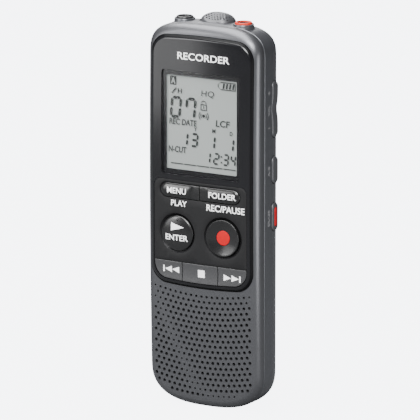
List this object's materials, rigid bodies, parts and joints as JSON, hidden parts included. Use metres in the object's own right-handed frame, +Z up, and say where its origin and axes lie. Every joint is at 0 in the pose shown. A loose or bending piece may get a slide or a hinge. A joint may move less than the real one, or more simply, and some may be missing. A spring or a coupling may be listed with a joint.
{
  "type": "handheld voice recorder",
  "caption": "Slim stick-shaped voice recorder with a display, a key field, a perforated speaker front, side controls, audio sockets and a sliding, hinged battery door.",
  "frame": {"origin": "middle of the lower end, on the level of its lowest point", "axes": "+Z up the body towards the sockets, -Y out of the front with the display, +X to the user's right"},
  "size_m": [0.0386, 0.0209, 0.1174],
  "materials": {
    "case_grey": "dark metallic grey paint, satin",
    "rear_grey": "dark grey moulded plastic, fine texture",
    "gloss_black": "polished black acrylic",
    "plate_black": "matte charcoal plate",
    "key_black": "glossy black keys",
    "key_grey": "metallic charcoal keys, satin",
    "red": "red",
    "orange_red": "orange-red plastic",
    "clear": "clear acrylic window",
    "lcd": "grey-green reflective liquid crystal panel",
    "white_plastic": "white moulded plastic",
    "rubber": "soft rubber",
    "steel": "plated spring steel",
    "board_green": "green circuit board",
    "chip_black": "black moulded package",
    "cloth": "black dust cloth",
    "paper_cone": "coated film cone",
    "cell": "plain wrapped battery can"
  },
  "bodies": {
    "root": {"front_case": "case_grey", "rear_case": "rear_grey", "front_panel": "gloss_black", "display_window": "clear", "key_plate": "plate_black", "keypad_mat": "rubber", "dome_sheet": "steel", "lcd_module": "lcd", "lcd_holder": "white_plastic", "lcd_contact_strip": "rubber", "main_board": "board_green", "side_board": "board_green", "processor_chip": "chip_black", "memory_chip": "chip_black", "audio_chip": "chip_black", "power_chip": "chip_black", "volume_down_switch": "steel", "volume_up_switch": "steel", "repeat_switch": "steel", "erase_switch": "steel", "speaker_frame": "steel", "speaker_cone": "paper_cone", "speaker_magnet": "steel", "speaker_cloth": "cloth", "headphone_jack": "chip_black", "mic_jack": "chip_black", "headphone_ring": "chip_black", "mic_jack_ring": "orange_red", "mic_cover": "case_grey", "mic_boot": "rubber", "mic_capsule": "steel", "hold_switch_body": "steel", "usb_socket": "steel", "battery_tray": "rear_grey", "battery_cell_left": "cell", "battery_cell_right": "cell", "battery_spring_left": "steel", "battery_spring_right": "steel", "battery_bridge_contact": "steel", "battery_contact_left": "steel", "battery_contact_right": "steel", "case_screw_1": "steel", "case_screw_2": "steel"},
    "menu": {"menu_key": "key_black"},
    "folder": {"folder_key": "key_black"},
    "enter": {"enter_key": "key_black"},
    "rec": {"rec_key": "key_black", "rec_key_dot": "red"},
    "rewind": {"rewind_key": "key_grey"},
    "stop": {"stop_key": "key_grey"},
    "forward": {"forward_key": "key_grey"},
    "rocker": {"volume_rocker": "rear_grey"},
    "repeat": {"repeat_button": "rear_grey"},
    "erase": {"erase_button": "rear_grey", "erase_stripe": "orange_red"},
    "hold": {"hold_switch": "rear_grey"},
    "door_slider": {"door_hinge_bar": "steel"},
    "door": {"battery_door": "rear_grey"}
  },
  "joints": [
    {"name": "menu_press", "type": "slide", "parent": "root", "child": "menu", "axis": [0, 1, 0], "range_m": [0, 0.00035], "stiffness_N_per_m": 3000},
    {"name": "folder_press", "type": "slide", "parent": "root", "child": "folder", "axis": [0, 1, 0], "range_m": [0, 0.00035], "stiffness_N_per_m": 3000},
    {"name": "enter_press", "type": "slide", "parent": "root", "child": "enter", "axis": [0, 1, 0], "range_m": [0, 0.00035], "stiffness_N_per_m": 3000},
    {"name": "rec_press", "type": "slide", "parent": "root", "child": "rec", "axis": [0, 1, 0], "range_m": [0, 0.00035], "stiffness_N_per_m": 3000},
    {"name": "rewind_press", "type": "slide", "parent": "root", "child": "rewind", "axis": [0, 1, 0], "range_m": [0, 0.00035], "stiffness_N_per_m": 3000},
    {"name": "stop_press", "type": "slide", "parent": "root", "child": "stop", "axis": [0, 1, 0], "range_m": [0, 0.00035], "stiffness_N_per_m": 3000},
    {"name": "forward_press", "type": "slide", "parent": "root", "child": "forward", "axis": [0, 1, 0], "range_m": [0, 0.00035], "stiffness_N_per_m": 3000},
    {"name": "volume_rock", "type": "hinge", "parent": "root", "child": "rocker", "pos_m": [0.0172, 0.0008, 0.0905], "axis": [0, 1, 0], "range_deg": [-3, 3], "stiffness_Nm_per_rad": 1.2},
    {"name": "repeat_press", "type": "slide", "parent": "root", "child": "repeat", "axis": [-1, 0, 0], "range_m": [0, 0.0004], "stiffness_N_per_m": 3000},
    {"name": "erase_press", "type": "slide", "parent": "root", "child": "erase", "axis": [-1, 0, 0], "range_m": [0, 0.0004], "stiffness_N_per_m": 3000},
    {"name": "hold_slide", "type": "slide", "parent": "root", "child": "hold", "axis": [0, 0, 1], "range_m": [-0.002, 0.002]},
    {"name": "door_slide", "type": "slide", "parent": "root", "child": "door_slider", "axis": [0, 0, -1], "range_m": [0, 0.004]},
    {"name": "door_swing", "type": "hinge", "parent": "door_slider", "child": "door", "pos_m": [0, 0.0066, 0.0016], "axis": [-1, 0, 0], "range_deg": [0, 80]}
  ]
}
